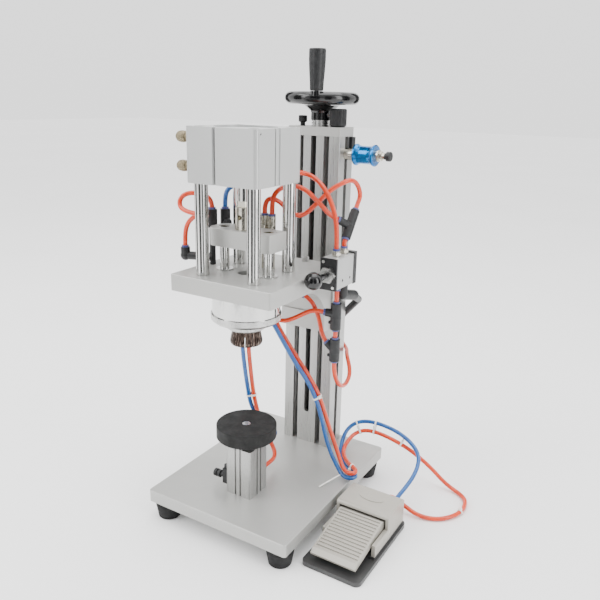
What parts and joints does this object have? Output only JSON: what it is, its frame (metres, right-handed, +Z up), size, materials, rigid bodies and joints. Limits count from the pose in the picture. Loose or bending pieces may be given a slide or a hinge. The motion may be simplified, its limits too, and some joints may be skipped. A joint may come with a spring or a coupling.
{
  "type": "capping machine",
  "caption": "Bench-top pneumatic bottle capping and crimping machine with height-adjustable head, collet, lifting table disc and foot pedal.",
  "frame": {"origin": "middle of the base plate's plan, on the plane that the rubber feet stand on", "axes": "+Z up, -Y towards the operator, +X to the operator's right; the column and the press head stand on the YZ plane"},
  "size_m": [0.3646, 0.303, 0.6164],
  "materials": {
    "plate_alu": "bead-blasted clear anodised",
    "rubber_black": "moulded",
    "screw_black": "black oxide",
    "profile_alu": "extruded, clear anodised",
    "steel": "ground",
    "steel_nickel": "nickel plated",
    "plastic_black": "moulded",
    "blue_anodised": "blue anodised",
    "rubber_disc": "matt",
    "steel_dark": "sheet steel",
    "pedal_grey": "die cast, painted warm grey",
    "bakelite": "polished",
    "brass": "machined",
    "chrome_rod": "hard chromed, ground",
    "cyl_alu": "satin anodised",
    "bronze": "sintered bronze",
    "gunmetal": "bronze, darkened",
    "collar_blue": "moulded",
    "tube_orange": "extruded",
    "tube_blue": "extruded"
  },
  "bodies": {
    "frame": {"base_plate": "plate_alu", "feet": "rubber_black", "base_screws": "screw_black", "column_profile": "profile_alu", "column_top_plate": "plate_alu", "thrust_washers": "steel", "slide_valve_body": "steel_nickel", "frame_fittings": "plastic_black", "pedestal_body": "profile_alu", "pedal_base": "steel_dark", "pedal_cover": "pedal_grey", "pedal_fittings": "steel_nickel"},
    "handwheel": {"handwheel": "bakelite", "lead_screw": "steel", "wheel_screws": "steel"},
    "grip": {"handle_grip": "plastic_black"},
    "clamp_knob": {"clamp_knob": "plastic_black"},
    "thumb_screw": {"thumb_screw": "plastic_black"},
    "slide_sleeve": {"slide_valve_sleeve": "blue_anodised"},
    "table": {"pedestal_rod": "steel", "table_disc": "rubber_disc"},
    "treadle": {"treadle": "pedal_grey"},
    "head": {"carriage": "plate_alu", "lift_nut": "brass", "head_plate": "plate_alu", "guide_bushes": "steel", "posts": "chrome_rod", "cylinder_body": "cyl_alu", "cylinder_covers": "cyl_alu", "head_screws": "steel", "silencers": "bronze", "collet_housing": "chrome_rod", "collet_flange": "steel", "collet": "gunmetal", "valve_body": "cyl_alu", "valve_plates": "plastic_black", "valve_nut": "steel", "metal_fittings": "steel_nickel", "black_fittings": "plastic_black", "fitting_collars": "collar_blue", "tube_stubs": "tube_orange", "tube_valve_feed": "tube_orange", "tube_upper_front": "tube_orange", "tube_upper_back": "tube_orange", "tube_left_loop": "tube_orange", "tube_blue_back": "tube_blue", "tube_flange_tee": "tube_orange", "tube_lower_tee": "tube_orange", "tube_tee_loop": "tube_orange", "hose_table_blue": "tube_blue", "hose_table_orange": "tube_orange", "hose_pedal_blue": "tube_blue", "hose_pedal_orange": "tube_orange"},
    "crosshead": {"crosshead": "plate_alu", "guide_rods": "chrome_rod", "coupling": "steel_nickel", "piston_rod": "chrome_rod", "closing_ring": "steel"},
    "adjusting_ring": {"adjusting_ring": "steel"},
    "valve_knob": {"valve_knob": "bakelite"}
  },
  "joints": [
    {"name": "handwheel_turn", "type": "hinge", "parent": "frame", "child": "handwheel", "pos_m": [0, 0.112, 0.556], "axis": [0, 0, 1], "range_deg": [-3603, 5763]},
    {"name": "head_lift", "type": "slide", "parent": "frame", "child": "head", "axis": [0, 0, 1], "range_m": [-0.05, 0.08], "deforming": ["hose_table_blue", "hose_table_orange", "hose_pedal_blue", "hose_pedal_orange"]},
    {"name": "grip_spin", "type": "hinge", "parent": "handwheel", "child": "grip", "pos_m": [0.014, 0.0716, 0.59], "axis": [0, 0, 1], "continuous": true},
    {"name": "clamp_knob_turn", "type": "hinge", "parent": "frame", "child": "clamp_knob", "pos_m": [0.031, 0.1025, 0.53], "axis": [0, 0, 1], "continuous": true},
    {"name": "thumb_screw_turn", "type": "hinge", "parent": "frame", "child": "thumb_screw", "pos_m": [-0.0275, 0.108, 0.525], "axis": [0, 0, 1], "continuous": true},
    {"name": "sleeve_slide", "type": "slide", "parent": "frame", "child": "slide_sleeve", "axis": [1, 0, 0], "range_m": [-0.001, 0.004]},
    {"name": "table_lift", "type": "slide", "parent": "frame", "child": "table", "axis": [0, 0, 1], "range_m": [0, 0.02]},
    {"name": "treadle_press", "type": "hinge", "parent": "frame", "child": "treadle", "pos_m": [0.1555, -0.018, 0.02], "axis": [1, 0, 0], "range_deg": [0, 5], "stiffness_Nm_per_rad": 6, "springref_deg": -3.44},
    {"name": "press_stroke", "type": "slide", "parent": "head", "child": "crosshead", "axis": [0, 0, -1], "range_m": [0, 0.015]},
    {"name": "ring_adjust", "type": "hinge", "parent": "head", "child": "adjusting_ring", "pos_m": [0, -0.0655, 0.2815], "axis": [0, 0, 1], "continuous": true},
    {"name": "valve_pull", "type": "slide", "parent": "head", "child": "valve_knob", "axis": [0, -1, 0], "range_m": [0, 0.006]}
  ],
  "couplings": [
    {"joint": "handwheel_turn", "follows": "head_lift", "rad_per_m": 1256.6}
  ]
}
